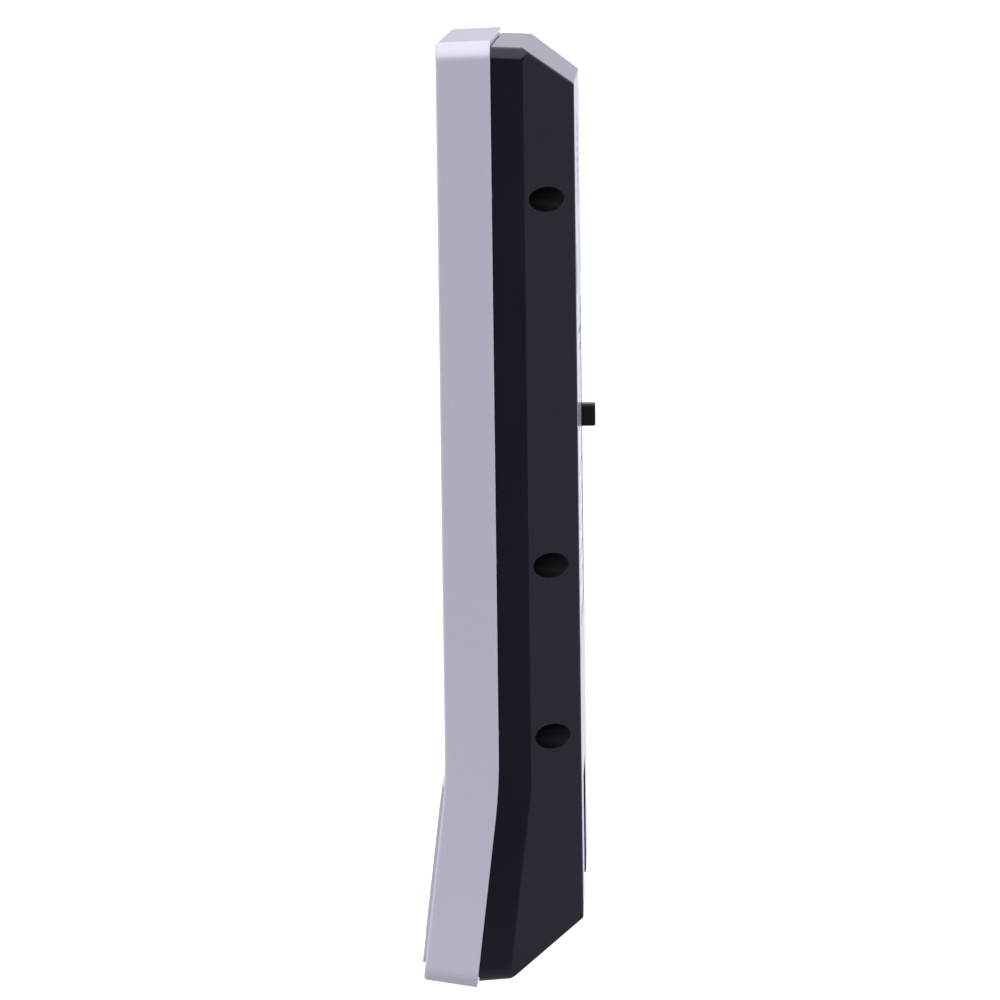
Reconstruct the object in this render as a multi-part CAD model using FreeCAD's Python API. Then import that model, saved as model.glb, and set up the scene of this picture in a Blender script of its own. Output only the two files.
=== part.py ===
"""Wall-mounted electronic time clock: a slim keypad and fingerprint terminal.

Millimetres.  -Y is the front, towards the user, +X is to the right of a user who
faces the front, and +Z is up.  The origin is midway between the
two round entry holes of the wall keyholes, on the plane of the back face.
"""
import FreeCAD, Part
import math
import os

V = FreeCAD.Vector

# ---------------------------------------------------------------- driving sizes
HEIGHT = 199.7            # top of the cover to its lowest edge
WIDTH = 110.0             # across the cover at its rear edge
DEPTH = 28.7              # front face to back face, above the bend
COVER_DEPTH = 11.4        # depth of the silver front cover's side wall
BEND_BELOW_TOP = 156.0    # where the front face bends forward
BEND_ANGLE = 7.0          # tilt of the lower front, degrees
BEND_RADIUS = 100.0       # the bend is a soft one
TOP_ABOVE_KEYHOLES = 50.5

COVER_WALL = 2.0
COVER_FRONT_WALL = 2.4
COVER_DRAFT = 2.1         # degrees that the cover's walls open towards the rear
COVER_CORNER_R = 3.8
COVER_EDGE_R = 0.7
COVER_REAR_EDGE_R = 0.3
STEP_PROUD = 0.6          # the lower front stands proud of the upper front
STEP_MARGIN = 1.0
STEP_END = 2.2            # how far short of the lower edge it stops, past its margin

JOINT_GAP = 0.2           # shadow line between the cover and the rear housing
HOUSING_WALL = 2.0
HOUSING_STEP = 1.3        # how far the housing sits inside the cover's outline
HOUSING_STEP_BOTTOM = 1.3
HOUSING_CORNER_R = 2.8
HOUSING_EDGE_R = 0.8
BAND_DEPTH = 6.7          # upright side band of the housing, behind the joint
SIDE_INSET = 7.5          # how far the inclined sides lean in by the back face
TOP_DRAFT = 2.5
TOP_BEVEL_DROP = 7.8
BOTTOM_BEVEL_DEPTH = 15.5
BOTTOM_BEVEL_RISE = 11.6
BOTTOM_RISE = 0.5         # the underside climbs this much towards the rear
LIP_HEIGHT = 2.6          # tongue that locates the housing inside the cover
LIP_WALL = 1.2
LIP_CLEARANCE = 0.15

SCREW_DROPS = (33.3, 110.2, 146.4)   # case screws below the top, on each side
SCREW_INSET = 3.3                    # screw axis inside the housing's side band
ACCESS_BORE_R = 2.62
ACCESS_BORE_FLOOR = 3.0              # floor thickness under the screw head
SCREW_HOLE_R = 1.7
SCREW_SHANK_R = 1.45
SCREW_HEAD_R = 2.35
SCREW_HEAD_HEIGHT = 1.8
SCREW_PILOT_R = 1.5
SCREW_LENGTH = 9.0
BOSS_R = 2.9

KEYHOLE_SPACING = 70.0
KEYHOLE_ENTRY_R = 4.0
KEYHOLE_SLOT_R = 2.2
KEYHOLE_RISE = 4.9
KEYHOLE_POCKET_DEPTH = 5.0
LOWER_HOLE_SPACING = 80.0
LOWER_HOLE_R = 2.0
LOWER_HOLE_DROP = 129.8

RECESS_HALF_WIDTH = 17.0             # cable recess in the back
RECESS_DEPTH = 13.0
RECESS_TOP_DROP = 160.0
RECESS_WALL = 1.8

PANEL_THICKNESS = 1.2
PANEL_HALF_WIDTH = 50.4
PANEL_TOP_DROP = 4.6
PANEL_BOTTOM_DROP = 149.6
PANEL_CORNER_R = 3.0
PANEL_LEDGE = 2.6
FIT_GAP = 0.15

DISPLAY_HALF_WIDTH = 37.0
DISPLAY_HALF_HEIGHT = 27.5
DISPLAY_DROP = 41.5
SCREEN_HALF_WIDTH = 35.4
SCREEN_HALF_HEIGHT = 26.6

KEY_WIDTH = 17.0
KEY_HEIGHT = 12.0
KEY_PITCH_X = 22.0
KEY_PITCH_Z = 16.6
KEY_FIRST_DROP = 84.0
KEY_CORNER_R = 2.4
KEY_PROUD = 0.35
KEY_CROWN_R = 0.3
KEY_GAP = 0.25
KEY_TRAVEL = 0.6
KEY_STEM_R = 2.2
KEY_STEM_GAP = 0.5        # air between a key's stem and its dome, past the travel
KEY_FLANGE = 1.0
KEY_FLANGE_THICKNESS = 0.9
DOME_R = 2.7
DOME_CROWN_R = 1.2
DOME_HEIGHT = 0.35
KEY_NAMES = (
    ("key_1", "key_2", "key_3", "key_escape"),
    ("key_4", "key_5", "key_6", "key_up"),
    ("key_7", "key_8", "key_9", "key_down"),
    ("key_menu", "key_0", "key_power", "key_ok"),
)

SENSOR_S = 22.0           # fingerprint window's centre, down the lower front
SENSOR_BEZEL_HALF_WIDTH = 26.0
SENSOR_BEZEL_HALF_HEIGHT = 15.5
SENSOR_BEZEL_PROUD = 0.5
WINDOW_HALF_WIDTH = 9.0
WINDOW_HALF_HEIGHT = 11.0
SENSOR_DEPTH = 9.6

PLUNGER_X = -37.0         # tamper plunger, in the back face
PLUNGER_DROP = 86.2
PLUNGER_SIZE = 5.0
PLUNGER_PROUD = 3.0
PLUNGER_TRAVEL = 2.8
SWITCH_HEIGHT = 2.4
SPRING_WIRE_R = 0.3
SPRING_R = 2.35

LIGHT_X = 43.0            # status light, in the panel's upper corner
LIGHT_DROP = 9.4
LIGHT_R = 1.2

LABEL_HALF_WIDTH = 27.0
LABEL_TOP_DROP = 59.0
LABEL_BOTTOM_DROP = 126.0
LABEL_THICKNESS = 0.35
SPEAKER_SEAL = 0.8

MAIN_BOARD_THICKNESS = 1.6
MAIN_BOARD_HALF_WIDTH = 44.0
MAIN_BOARD_TOP_DROP = 12.0
BOARD_SCREW_X = 38.0
BOARD_SCREW_DROPS = (20.0, 148.0)

JACK_X = 5.5              # network socket, in the roof of the cable recess
JACK_HALF_WIDTH = 8.0
JACK_LENGTH = 21.0
JACK_THICKNESS = 12.0
POWER_X = -10.0
POWER_HALF_WIDTH = 4.6
POWER_LENGTH = 14.0
POWER_THICKNESS = 11.0
POWER_SOCKET_R = 3.15

USB_X = 29.0              # memory-stick port, in the underside
USB_HALF_WIDTH = 6.6
USB_THICKNESS = 5.7
USB_LENGTH = 14.0
USB_BOARD_THICKNESS = 1.2

USB_WALL = 0.3
USB_BOARD_HALF_WIDTH = 9.0
USB_SCREW_X = 5.5

SPEAKER_DROP = 27.5
SPEAKER_R = 13.5
SPEAKER_DEPTH = 2.8
MAGNET_R = 7.5
MAGNET_DEPTH = 3.2
GRILLE_RINGS = 5
GRILLE_PITCH = 2.4
GRILLE_HOLE_R = 0.75

BATTERY_DROP = 106.0
BATTERY_HALF_WIDTH = 24.0
BATTERY_HALF_HEIGHT = 17.0
BATTERY_THICKNESS = 5.4

# chips on the front of the main board: x, z, half width, half height, thickness
CHIPS = (
    (8.0, -6.0, 8.5, 8.5, 1.4),
    (-14.0, -4.0, 6.0, 4.5, 1.1),
    (27.0, -6.0, 4.5, 6.0, 1.1),
    (-30.0, 24.0, 3.0, 3.0, 1.0),
    (12.0, -40.0, 5.0, 3.5, 1.2),
    (-18.0, -44.0, 3.2, 2.6, 1.2),
    (30.0, -66.0, 3.6, 5.4, 1.4),
)
# capacitors on its rear: x, z, radius, height
CAPACITORS = (
    (-34.0, -52.0, 3.1, 7.5),
    (-26.5, -52.0, 3.1, 7.5),
    (-36.0, -66.0, 4.0, 9.0),
)
# ribbon sockets on its front: x, z of the ribbon's end, half width
CONNECTORS = (
    (-10.0, -24.0, 10.5),
    (-36.0, -39.0, 7.0),
    (6.0, -103.0, 5.5),
)
RIBBON_THICKNESS = 0.3

RELAY_X = -27.0
RELAY_HALF_WIDTH = 5.0
RELAY_LOW = -104.0
RELAY_HIGH = -86.0
RELAY_HEIGHT = 10.5
BUZZER_X = 24.0
BUZZER_Z = 29.0
BUZZER_R = 6.0
BUZZER_HEIGHT = 6.5
BUZZER_PORT_R = 1.2

ANTENNA_HALF_WIDTH = 33.0
ANTENNA_LOW = -94.0
ANTENNA_HIGH = -44.0
ANTENNA_THICKNESS = 0.8
TRACK_TURNS = 4
TRACK_PITCH = 1.8
TRACK_WIDTH = 0.8
TRACK_HEIGHT = 0.15
TRACK_MARGIN = 2.0

CONTACT_PITCH = 1.02      # the network socket's eight wires
CONTACT_HALF_WIDTH = 0.22

# ------------------------------------------------------------- derived places
Z_TOP = TOP_ABOVE_KEYHOLES
Z_BEND = Z_TOP - BEND_BELOW_TOP
Y_FRONT = -DEPTH
Y_JOINT = Y_FRONT + COVER_DEPTH
ANGLE = math.radians(BEND_ANGLE)
LOWER_LENGTH = (HEIGHT - BEND_BELOW_TOP - COVER_DEPTH * math.sin(ANGLE)) / math.cos(ANGLE)
COVER_HALF = WIDTH / 2
HOUSING_HALF = COVER_HALF - HOUSING_STEP
HOUSING_DEPTH = DEPTH - COVER_DEPTH
Y_BAND = Y_JOINT + BAND_DEPTH
Y_HOUSING_FRONT = Y_JOINT + JOINT_GAP
SCREW_X = HOUSING_HALF - SCREW_INSET
Y_SCREW_SEAT = Y_JOINT + ACCESS_BORE_FLOOR
Z_RECESS = Z_TOP - RECESS_TOP_DROP
Y_BOARD_BACK = -14.6      # rear face of the main board
Y_BOARD_FRONT = Y_BOARD_BACK - MAIN_BOARD_THICKNESS
Z_DISPLAY = Z_TOP - DISPLAY_DROP
Y_PANEL_BACK = Y_FRONT + PANEL_THICKNESS
Y_MODULE_BACK = Y_PANEL_BACK + 4.2
Y_LEDGE_BACK = Y_FRONT + COVER_FRONT_WALL
Y_KEY_BOARD = -22.8       # front face of the keypad board
KEY_BOARD_THICKNESS = 1.2
Z_BOARD_TOP = Z_TOP - MAIN_BOARD_TOP_DROP
Z_BOARD_BOTTOM = Z_RECESS + RECESS_WALL + 2.2
Z_LIGHT = Z_TOP - LIGHT_DROP
LABEL_HIGH = Z_TOP - LABEL_TOP_DROP
LABEL_LOW = Z_TOP - LABEL_BOTTOM_DROP
Y_ANTENNA = -19.6         # front face of the aerial board
Y_CONNECTOR = -17.6       # where the ribbons enter their sockets
Z_SPEAKER = Z_TOP - SPEAKER_DROP
Z_LOWER_HOLES = Z_TOP - LOWER_HOLE_DROP
Z_USB = Z_TOP - HEIGHT + HOUSING_STEP_BOTTOM + BOTTOM_RISE
Y_USB_BOARD = -15.9       # front face of the memory-port board
Y_USB = Y_USB_BOARD - USB_THICKNESS / 2
Z_PLUNGER = Z_TOP - PLUNGER_DROP
Y_SENSOR = Y_FRONT + 0.6  # front of the sensor housing, before tilting
KEY_CENTRES = {
    name: (KEY_PITCH_X * (column - 1.5), Z_TOP - KEY_FIRST_DROP - KEY_PITCH_Z * row)
    for row, names in enumerate(KEY_NAMES)
    for column, name in enumerate(names)
}


# --------------------------------------------------------------- shape helpers
def box(x0, x1, y0, y1, z0, z1):
    return Part.makeBox(x1 - x0, y1 - y0, z1 - z0, V(x0, y0, z0))


def rod(x, z, radius, y0, y1):
    """A round bar along Y."""
    return Part.makeCylinder(radius, y1 - y0, V(x, y0, z), V(0, 1, 0))


def post(x, y, radius, z0, z1):
    """A round bar along Z."""
    return Part.makeCylinder(radius, z1 - z0, V(x, y, z0), V(0, 0, 1))


def slab(half_x, z0, z1, y0, y1, corner=0.0, x=0.0):
    """A plate facing the user, with its four corners rounded."""
    plate = box(x - half_x, x + half_x, y0, y1, z0, z1)
    if corner:
        edges = [e for e in plate.Edges if abs(e.tangentAt(e.FirstParameter).y) > 0.99]
        plate = plate.makeFillet(corner, edges)
    return plate


def edges_where(shape, test):
    """The edges whose midpoint and direction satisfy the test."""
    chosen = []
    for edge in shape.Edges:
        middle = edge.valueAt((edge.FirstParameter + edge.LastParameter) / 2)
        direction = edge.tangentAt((edge.FirstParameter + edge.LastParameter) / 2)
        if test(middle, direction):
            chosen.append(edge)
    return chosen


def tilt(shape):
    """Swing a shape drawn on the straight front down onto the tilted lower front."""
    turned = shape.copy()
    turned.rotate(V(0, Y_FRONT, Z_BEND), V(1, 0, 0), -BEND_ANGLE)
    return turned


def lower_point(depth, along):
    """(y, z) at a depth behind the lower front, at a distance down from the bend."""
    y = Y_FRONT + depth * math.cos(ANGLE) - along * math.sin(ANGLE)
    z = Z_BEND - depth * math.sin(ANGLE) - along * math.cos(ANGLE)
    return V(0, y, z)


def bend_edges(depth, start, end, radius):
    """Upright line, soft bend and tilted line, at one depth behind the front."""
    corner = V(0, Y_FRONT + depth, Z_BEND - depth * math.tan(ANGLE / 2))
    setback = radius * math.tan(ANGLE / 2)
    down = V(0, -math.sin(ANGLE), -math.cos(ANGLE))
    before = corner + V(0, 0, setback)
    after = corner + down * setback
    sagitta = radius * (1 / math.cos(ANGLE / 2) - 1)
    inward = (before + after) * 0.5 - corner
    middle = corner + inward * (sagitta / inward.Length)
    return [
        Part.makeLine(start, before),
        Part.Arc(before, middle, after).toShape(),
        Part.makeLine(after, end),
    ]


def extrude_profile(edges, half_width):
    face = Part.Face(Part.Wire(Part.__sortEdges__(edges)))
    face.translate(V(-half_width, 0, 0))
    return face.extrude(V(2 * half_width, 0, 0))


def closed_profile(front_edges, rear_points):
    """Close a bent front line with straight runs through the rear points."""
    points = [front_edges[-1].Vertexes[-1].Point] + rear_points
    points.append(front_edges[0].Vertexes[0].Point)
    return front_edges + [Part.makeLine(a, b) for a, b in zip(points, points[1:])]


def cut_all(shape, tools):
    return shape.cut(Part.makeCompound(tools)) if tools else shape


# ------------------------------------------------------------------ front cover
def cover_envelope(front_depth, rear_depth, side_in, corner_r):
    """The cover's drafted outline between two depths, drawn in by side_in."""
    draft = math.tan(math.radians(COVER_DRAFT))

    def top_point(depth):
        return V(0, Y_FRONT + depth, Z_TOP - (COVER_DEPTH - depth) * draft - side_in)

    def bottom_point(depth):
        return lower_point(depth, LOWER_LENGTH - (COVER_DEPTH - depth) * draft - side_in)

    front = bend_edges(front_depth, top_point(front_depth), bottom_point(front_depth),
                       BEND_RADIUS + front_depth)
    rear = bend_edges(rear_depth, top_point(rear_depth), bottom_point(rear_depth),
                      BEND_RADIUS + rear_depth)
    edges = front + rear
    edges.append(Part.makeLine(top_point(front_depth), top_point(rear_depth)))
    edges.append(Part.makeLine(bottom_point(front_depth), bottom_point(rear_depth)))
    solid = extrude_profile(edges, COVER_HALF - side_in)
    if corner_r:
        corners = edges_where(solid, lambda m, d: abs(d.y) > 0.9)
        solid = solid.makeFillet(corner_r, corners)
    return solid


def cover_depth_of(point):
    """How far a point lies behind the cover's bent front face."""
    straight = point.y - Y_FRONT
    tilted = straight * math.cos(ANGLE) - (point.z - Z_BEND) * math.sin(ANGLE)
    return max(straight, tilted) if point.z < Z_BEND else straight


def make_front_cover():
    body = cover_envelope(0.0, COVER_DEPTH, 0.0, COVER_CORNER_R)
    front_rim = edges_where(body, lambda m, d: m.y < Y_FRONT + 0.3 - max(0.0, Z_BEND - m.z) * 0.1)
    body = body.makeFillet(COVER_EDGE_R, front_rim)
    rear_rim = edges_where(body, lambda m, d: cover_depth_of(m) > COVER_DEPTH - 0.25)
    body = body.makeFillet(COVER_REAR_EDGE_R, rear_rim)

    step_face = cover_envelope(-STEP_PROUD, 1.0, STEP_MARGIN + 0.4, COVER_CORNER_R - STEP_MARGIN)
    step_face.translate(V(0, math.sin(ANGLE), math.cos(ANGLE)) * STEP_END)
    above_bend = box(-WIDTH, WIDTH, -2 * DEPTH, DEPTH, Z_BEND - 0.5, Z_TOP + 10)
    body = body.fuse(step_face.cut(above_bend)).removeSplitter()

    hollow = cover_envelope(COVER_FRONT_WALL, COVER_DEPTH + 1.0, COVER_WALL,
                            COVER_CORNER_R - COVER_WALL)
    body = body.cut(hollow)

    bosses = []
    pilots = []
    for x in (-SCREW_X, SCREW_X):
        for drop in SCREW_DROPS:
            z = Z_TOP - drop
            bosses.append(rod(x, z, BOSS_R, Y_LEDGE_BACK - 0.2, Y_JOINT))
            pilots.append(rod(x, z, SCREW_PILOT_R, Y_LEDGE_BACK + 0.6, Y_JOINT + 1))
    keep = cover_envelope(1.0, COVER_DEPTH, 0.5, 0.0)
    body = body.fuse([boss.common(keep) for boss in bosses])

    panel_seat = slab(PANEL_HALF_WIDTH + FIT_GAP, Z_TOP - PANEL_BOTTOM_DROP - FIT_GAP,
                      Z_TOP - PANEL_TOP_DROP + FIT_GAP, Y_FRONT - 1, Y_PANEL_BACK,
                      PANEL_CORNER_R)
    opening = slab(PANEL_HALF_WIDTH - PANEL_LEDGE, Z_TOP - PANEL_BOTTOM_DROP + PANEL_LEDGE,
                   Z_TOP - PANEL_TOP_DROP - PANEL_LEDGE, Y_FRONT - 1, Y_LEDGE_BACK + 1, 2.0)
    for pilot in pilots:
        opening = opening.cut(rod(pilot.CenterOfMass.x, pilot.CenterOfMass.z, BOSS_R + 0.4,
                                  Y_FRONT - 2, Y_JOINT))
    sensor_seat = tilt(slab(SENSOR_BEZEL_HALF_WIDTH + FIT_GAP, sensor_z(1) - FIT_GAP,
                            sensor_z(-1) + FIT_GAP, Y_FRONT - 3, Y_FRONT + 0.6, 3.0))
    sensor_hole = tilt(slab(WINDOW_HALF_WIDTH + 4.0, sensor_z(0) - WINDOW_HALF_HEIGHT - 2.5,
                            sensor_z(0) + WINDOW_HALF_HEIGHT + 2.5, Y_FRONT - 3, -20.0, 1.5))
    return cut_all(body, pilots + [panel_seat, opening, sensor_seat, sensor_hole])


def sensor_z(side):
    """Upper (-1), middle (0) or lower (1) limit of the sensor bezel, before tilting."""
    return Z_BEND - SENSOR_S - side * SENSOR_BEZEL_HALF_HEIGHT


# ----------------------------------------------------------------- front parts
def make_front_panel():
    panel = slab(PANEL_HALF_WIDTH, Z_TOP - PANEL_BOTTOM_DROP, Z_TOP - PANEL_TOP_DROP,
                 Y_FRONT, Y_PANEL_BACK, PANEL_CORNER_R)
    rim = edges_where(panel, lambda m, d: m.y < Y_FRONT + 0.01)
    panel = panel.makeFillet(0.3, rim)
    holes = [slab(DISPLAY_HALF_WIDTH + 0.1, Z_DISPLAY - DISPLAY_HALF_HEIGHT - 0.1,
                  Z_DISPLAY + DISPLAY_HALF_HEIGHT + 0.1, Y_FRONT - 1, Y_PANEL_BACK + 1, 1.5)]
    for x, z in KEY_CENTRES.values():
        holes.append(key_block(x, z, KEY_GAP, Y_FRONT - 1, Y_PANEL_BACK + 1))
    holes.append(rod(LIGHT_X, Z_LIGHT, LIGHT_R + 0.1, Y_FRONT - 1, Y_PANEL_BACK + 1))
    panel = cut_all(panel, holes)
    posts = [rod(x, z, 2.2, Y_PANEL_BACK - 0.1, Y_KEY_BOARD) for x, z in keypad_screw_places()]
    pilots = [rod(x, z, 0.95, Y_PANEL_BACK + 0.6, Y_KEY_BOARD + 1)
              for x, z in keypad_screw_places()]
    return cut_all(panel.fuse(posts).removeSplitter(), pilots)


def make_display_window():
    return slab(DISPLAY_HALF_WIDTH, Z_DISPLAY - DISPLAY_HALF_HEIGHT,
                Z_DISPLAY + DISPLAY_HALF_HEIGHT, Y_FRONT + 0.1, Y_PANEL_BACK, 1.4)


def make_display_gasket():
    outer = slab(SCREEN_HALF_WIDTH + 1.8, Z_DISPLAY - SCREEN_HALF_HEIGHT - 1.8,
                 Z_DISPLAY + SCREEN_HALF_HEIGHT + 1.8, Y_PANEL_BACK, Y_PANEL_BACK + 1.0, 1.0)
    inner = slab(SCREEN_HALF_WIDTH + 0.3, Z_DISPLAY - SCREEN_HALF_HEIGHT - 0.3,
                 Z_DISPLAY + SCREEN_HALF_HEIGHT + 0.3, Y_PANEL_BACK - 1, Y_PANEL_BACK + 2)
    return outer.cut(inner)


def make_display_screen():
    return slab(SCREEN_HALF_WIDTH, Z_DISPLAY - SCREEN_HALF_HEIGHT,
                Z_DISPLAY + SCREEN_HALF_HEIGHT, Y_PANEL_BACK + 0.1, Y_PANEL_BACK + 1.0)


def make_display_module():
    return slab(SCREEN_HALF_WIDTH + 2.6, Z_DISPLAY - SCREEN_HALF_HEIGHT - 4.6,
                Z_DISPLAY + SCREEN_HALF_HEIGHT + 2.6, Y_PANEL_BACK + 1.0, Y_MODULE_BACK, 1.0)


def key_block(x, z, grow, y0, y1):
    """A key's rounded outline between two depths, grown all round."""
    return slab(KEY_WIDTH / 2 + grow, z - KEY_HEIGHT / 2 - grow, z + KEY_HEIGHT / 2 + grow,
                y0, y1, KEY_CORNER_R + grow, x)


def make_key(name):
    x, z = KEY_CENTRES[name]
    y_flange = Y_PANEL_BACK + 0.1
    cap = key_block(x, z, 0.0, Y_FRONT - KEY_PROUD, y_flange)
    crown = edges_where(cap, lambda m, d: m.y < Y_FRONT - KEY_PROUD + 0.01)
    cap = cap.makeFillet(KEY_CROWN_R, crown)
    flange = key_block(x, z, KEY_FLANGE, y_flange, y_flange + KEY_FLANGE_THICKNESS)
    stem = rod(x, z, KEY_STEM_R, y_flange + KEY_FLANGE_THICKNESS,
               Y_KEY_BOARD - KEY_STEM_GAP - KEY_TRAVEL)
    return cap.fuse([flange, stem]).removeSplitter()


def make_keypad_board():
    top = Z_TOP - KEY_FIRST_DROP + KEY_HEIGHT / 2 + 1.5
    bottom = Z_TOP - PANEL_BOTTOM_DROP + 4.0
    board = slab(45.0, bottom, top, Y_KEY_BOARD, Y_KEY_BOARD + KEY_BOARD_THICKNESS, 2.0)
    holes = [rod(x, z, 1.3, Y_KEY_BOARD - 1, Y_KEY_BOARD + 2) for x, z in keypad_screw_places()]
    return cut_all(board, holes)


def keypad_screw_places():
    """Between the key columns, above the second row and below the third."""
    z_upper = Z_TOP - KEY_FIRST_DROP - KEY_PITCH_Z / 2
    z_lower = z_upper - 2 * KEY_PITCH_Z
    return [(x, z) for x in (-KEY_PITCH_X, KEY_PITCH_X) for z in (z_upper, z_lower)]


def make_keypad_domes():
    """A snap dome under each key's stem."""
    return Part.makeCompound([
        Part.makeCone(DOME_R, DOME_CROWN_R, DOME_HEIGHT, V(x, Y_KEY_BOARD, z), V(0, -1, 0))
        for x, z in KEY_CENTRES.values()])


def make_light_guide():
    """Clear pin that brings the status light out through the front panel."""
    pin = rod(LIGHT_X, Z_LIGHT, LIGHT_R, Y_FRONT - 0.2, Y_PANEL_BACK)
    pin = pin.makeFillet(0.3, edges_where(pin, lambda m, d: m.y < Y_FRONT - 0.1))
    foot = slab(3.0, Z_LIGHT - 2.2, Z_LIGHT + 2.2, Y_PANEL_BACK, Y_PANEL_BACK + 1.4, 0.6, LIGHT_X)
    return pin.fuse(foot).removeSplitter()


def make_status_board():
    y_led = Y_PANEL_BACK + 1.4
    led = slab(1.5, Z_LIGHT - 1.5, Z_LIGHT + 1.5, y_led, y_led + 1.0, 0.2, LIGHT_X)
    board = slab(4.6, Z_LIGHT - 3.4, Z_LIGHT + 3.4, y_led + 1.0, y_led + 2.0, 0.8, LIGHT_X)
    return led.fuse(board).removeSplitter()


# ----------------------------------------------------------- fingerprint sensor
def make_sensor_bezel():
    y_face = Y_FRONT - STEP_PROUD - SENSOR_BEZEL_PROUD
    bezel = slab(SENSOR_BEZEL_HALF_WIDTH, sensor_z(1), sensor_z(-1), y_face, Y_FRONT + 0.6, 3.0)
    rim = edges_where(bezel, lambda m, d: m.y < y_face + 0.01)
    bezel = bezel.makeFillet(0.45, rim)
    mouth = slab(WINDOW_HALF_WIDTH, sensor_z(0) - WINDOW_HALF_HEIGHT,
                 sensor_z(0) + WINDOW_HALF_HEIGHT, y_face - 1, Y_FRONT + 1, 2.0)
    bezel = bezel.cut(mouth)
    lip = edges_where(bezel, lambda m, d: m.y < y_face + 0.01
                      and abs(m.x) < WINDOW_HALF_WIDTH + 0.1)
    return tilt(bezel.makeChamfer(0.4, lip))


def make_fingerprint_window():
    pane = slab(WINDOW_HALF_WIDTH - 0.1, sensor_z(0) - WINDOW_HALF_HEIGHT + 0.1,
                sensor_z(0) + WINDOW_HALF_HEIGHT - 0.1, Y_FRONT - STEP_PROUD - 0.1,
                Y_SENSOR, 1.9)
    return tilt(pane)


def make_sensor_housing():
    half_x = WINDOW_HALF_WIDTH + 2.8
    z0 = sensor_z(0) - WINDOW_HALF_HEIGHT - 1.6
    z1 = sensor_z(0) + WINDOW_HALF_HEIGHT + 1.6
    shell = slab(half_x, z0, z1, Y_SENSOR, Y_SENSOR + SENSOR_DEPTH, 1.2)
    hollow = slab(half_x - 1.2, z0 + 1.2, z1 - 1.2, Y_SENSOR + 1.6, Y_SENSOR + SENSOR_DEPTH + 1)
    mouth = slab(WINDOW_HALF_WIDTH - 1.0, sensor_z(0) - WINDOW_HALF_HEIGHT + 1.0,
                 sensor_z(0) + WINDOW_HALF_HEIGHT - 1.0, Y_SENSOR - 1, Y_SENSOR + 3.0)
    return tilt(shell.cut(hollow.fuse(mouth)))


def make_sensor_prism():
    """Glass wedge that turns the finger's image towards the sensor board."""
    half_x = WINDOW_HALF_WIDTH - 1.2
    z_low = sensor_z(0) - WINDOW_HALF_HEIGHT + 1.2
    z_high = sensor_z(0) + WINDOW_HALF_HEIGHT - 1.2
    corners = [V(-half_x, Y_SENSOR, z_low), V(-half_x, Y_SENSOR, z_high),
               V(-half_x, Y_SENSOR + 2.6, z_high), V(-half_x, Y_SENSOR + 6.8, z_low)]
    face = Part.Face(Part.makePolygon(corners + corners[:1]))
    return tilt(face.extrude(V(2 * half_x, 0, 0)))


def make_sensor_board():
    half_x = WINDOW_HALF_WIDTH + 2.8
    board = slab(half_x, sensor_z(0) - WINDOW_HALF_HEIGHT - 1.6,
                 sensor_z(0) + WINDOW_HALF_HEIGHT + 1.6, Y_SENSOR + SENSOR_DEPTH,
                 Y_SENSOR + SENSOR_DEPTH + 1.0, 1.0)
    camera = slab(3.0, sensor_z(0) - 3.0, sensor_z(0) + 3.0, Y_SENSOR + SENSOR_DEPTH - 1.4,
                  Y_SENSOR + SENSOR_DEPTH)
    return tilt(board.fuse(camera).removeSplitter())


# ------------------------------------------------------------------ rear housing
def housing_envelope(inset):
    """The rear housing's faceted outline, drawn in all round by inset."""
    lean = math.atan2(HOUSING_DEPTH - BAND_DEPTH, SIDE_INSET)
    top_lean = math.atan2(HOUSING_DEPTH - BAND_DEPTH, TOP_BEVEL_DROP)
    low_lean = math.atan2(BOTTOM_BEVEL_DEPTH, BOTTOM_BEVEL_RISE)
    z_flat = Z_TOP - HOUSING_STEP - inset
    top_fall = BAND_DEPTH * math.tan(math.radians(TOP_DRAFT))
    front_depth = COVER_DEPTH + JOINT_GAP
    front = bend_edges(front_depth, V(0, Y_FRONT + front_depth, z_flat),
                       lower_point(front_depth, LOWER_LENGTH - HOUSING_STEP_BOTTOM - inset),
                       BEND_RADIUS + front_depth)
    band_top = V(0, Y_BAND - inset * math.tan((math.pi / 2 - top_lean) / 2), z_flat - top_fall)
    back_top = V(0, -inset, Z_TOP - HOUSING_STEP - top_fall - TOP_BEVEL_DROP
                 - inset * math.tan(top_lean / 2))
    z_bevel = lower_point(front_depth, LOWER_LENGTH - HOUSING_STEP_BOTTOM).z + BOTTOM_RISE
    band_low = V(0, -BOTTOM_BEVEL_DEPTH - inset * math.tan((math.pi / 2 - low_lean) / 2),
                 z_bevel + inset)
    back_low = V(0, -inset, z_bevel + BOTTOM_BEVEL_RISE + inset * math.tan(low_lean / 2))
    profile = closed_profile(front, [band_low, back_low, back_top, band_top])
    body = extrude_profile(profile, HOUSING_HALF - inset)

    corner_r = HOUSING_CORNER_R - inset
    if corner_r > 0:
        corners = edges_where(body, lambda m, d: abs(d.y) > 0.9 and abs(d.x) < 0.1)
        body = body.makeFillet(corner_r, corners)
    return body.cut(side_wedges(inset, lean))


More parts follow.
